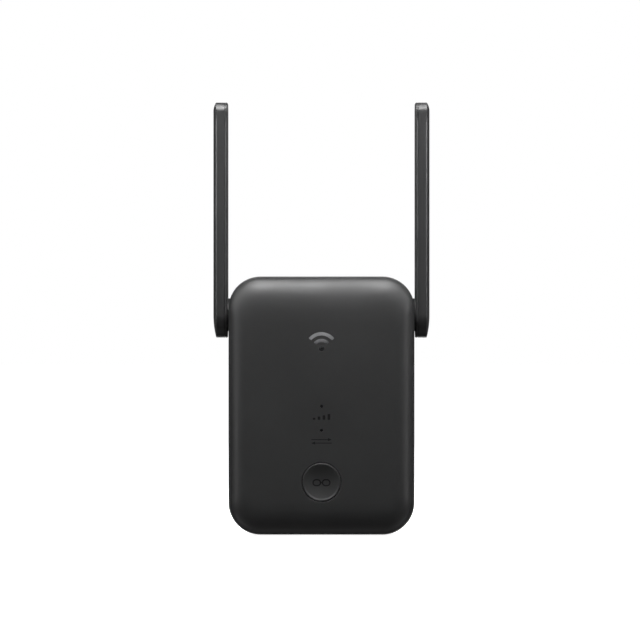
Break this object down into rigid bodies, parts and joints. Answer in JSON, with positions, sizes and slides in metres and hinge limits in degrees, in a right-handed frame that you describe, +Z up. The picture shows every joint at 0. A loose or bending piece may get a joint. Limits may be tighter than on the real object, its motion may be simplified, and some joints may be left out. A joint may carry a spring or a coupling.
{
  "type": "wifi range extender",
  "caption": "Upright plug-in wireless range extender: a soft-edged black housing with folding blade antennas, a round pairing button, status lights and a network socket.",
  "frame": {"origin": "centre of the mains plug's flat end face, between its pins, where it rests in the wall socket", "axes": "+Y into the wall along the plug, -Y towards the room (the front), +Z up along the antennas, +X to the right as seen from the front"},
  "size_m": [0.0886, 0.0682, 0.1761],
  "materials": {
    "black_housing": "fine satin moulding",
    "black_antenna": "fine satin moulding",
    "black_button": "satin",
    "black_plug": "fine texture",
    "sleeve_plastic": "smooth",
    "emblem_metal": "dark polished",
    "clear_plastic": "clear",
    "label_film": "printed film, blank",
    "plated_brass": "nickel plated",
    "spring_contact": "bare",
    "gold_contact": "gold plated",
    "green_board": "solder mask",
    "power_board_laminate": "bare laminate",
    "ferrite": "sintered",
    "winding_tape": "polyester tape",
    "can_sleeve": "printed sleeve",
    "ferrite_wound": "heat-shrunk",
    "resistor_body": "lacquered",
    "chip_black": "moulded",
    "capacitor_blue": "epoxy dipped",
    "chip_white": "moulded",
    "header_black": "moulded",
    "film_clear": "film",
    "tinned_steel": "tin plated",
    "thermal_pad": "soft",
    "heat_spreader": "extruded",
    "led_resin": "clear resin",
    "switch_steel": "stamped",
    "plunger_plastic": "moulded",
    "screw_steel": "zinc plated",
    "cable_jacket": "extruded",
    "spring_steel": "phosphated"
  },
  "bodies": {
    "housing": {"board_screws": "screw_steel", "bridge_rectifier": "chip_black", "bulk_capacitors": "can_sleeve", "coax_sockets": "gold_contact", "crystal": "tinned_steel", "emblem_insert": "emblem_metal", "feed_cable_left": "cable_jacket", "feed_cable_right": "cable_jacket", "friction_washer_left": "spring_steel", "friction_washer_right": "spring_steel", "front_cover": "black_housing", "fuse_resistor": "resistor_body", "header_body": "header_black", "header_pins": "gold_contact", "heat_spreader": "heat_spreader", "input_choke": "ferrite_wound", "insulating_sheet": "film_clear", "light_guide": "clear_plastic", "main_board": "green_board", "memory_chips": "chip_black", "network_jack_contacts": "gold_contact", "network_jack_housing": "header_black", "network_jack_shield": "tinned_steel", "network_transformer": "chip_black", "optocoupler": "chip_white", "output_capacitor": "can_sleeve", "pin_contacts": "spring_contact", "pin_sleeves": "sleeve_plastic", "plug_body": "black_plug", "plug_pins": "plated_brass", "power_board": "power_board_laminate", "power_board_screws": "screw_steel", "power_controller": "chip_black", "processor_chip": "chip_black", "rating_label": "label_film", "rear_cover": "black_housing", "reset_switch_body": "switch_steel", "safety_capacitor": "capacitor_blue", "shield_cans": "tinned_steel", "status_leds": "led_resin", "thermal_pad": "thermal_pad", "transformer_bobbin": "winding_tape", "transformer_core": "ferrite", "wps_switch_body": "switch_steel"},
    "antenna_right": {"antenna_shell_right": "black_antenna", "antenna_cover_right": "black_antenna", "antenna_board_right": "green_board", "antenna_cable_right": "cable_jacket", "retaining_clip_right": "spring_steel"},
    "antenna_left": {"antenna_shell_left": "black_antenna", "antenna_cover_left": "black_antenna", "antenna_board_left": "green_board", "antenna_cable_left": "cable_jacket", "retaining_clip_left": "spring_steel"},
    "button": {"wps_button": "black_button", "wps_switch_plunger": "plunger_plastic"},
    "reset": {"reset_switch_plunger": "plunger_plastic"}
  },
  "joints": [
    {"name": "antenna_hinge_right", "type": "hinge", "parent": "housing", "child": "antenna_right", "pos_m": [0.0381, -0.0285, 0.0249], "axis": [1, 0, 0], "range_deg": [0, 180]},
    {"name": "antenna_hinge_left", "type": "hinge", "parent": "housing", "child": "antenna_left", "pos_m": [-0.0381, -0.0285, 0.0249], "axis": [1, 0, 0], "range_deg": [0, 180]},
    {"name": "wps_press", "type": "slide", "parent": "housing", "child": "button", "axis": [0, 1, 0], "range_m": [0, 0.0003], "stiffness_N_per_m": 2000, "springref_m": -0.0005},
    {"name": "reset_press", "type": "slide", "parent": "housing", "child": "reset", "axis": [0, 0, 1], "range_m": [0, 0.00025], "stiffness_N_per_m": 2000, "springref_m": -0.0005}
  ]
}
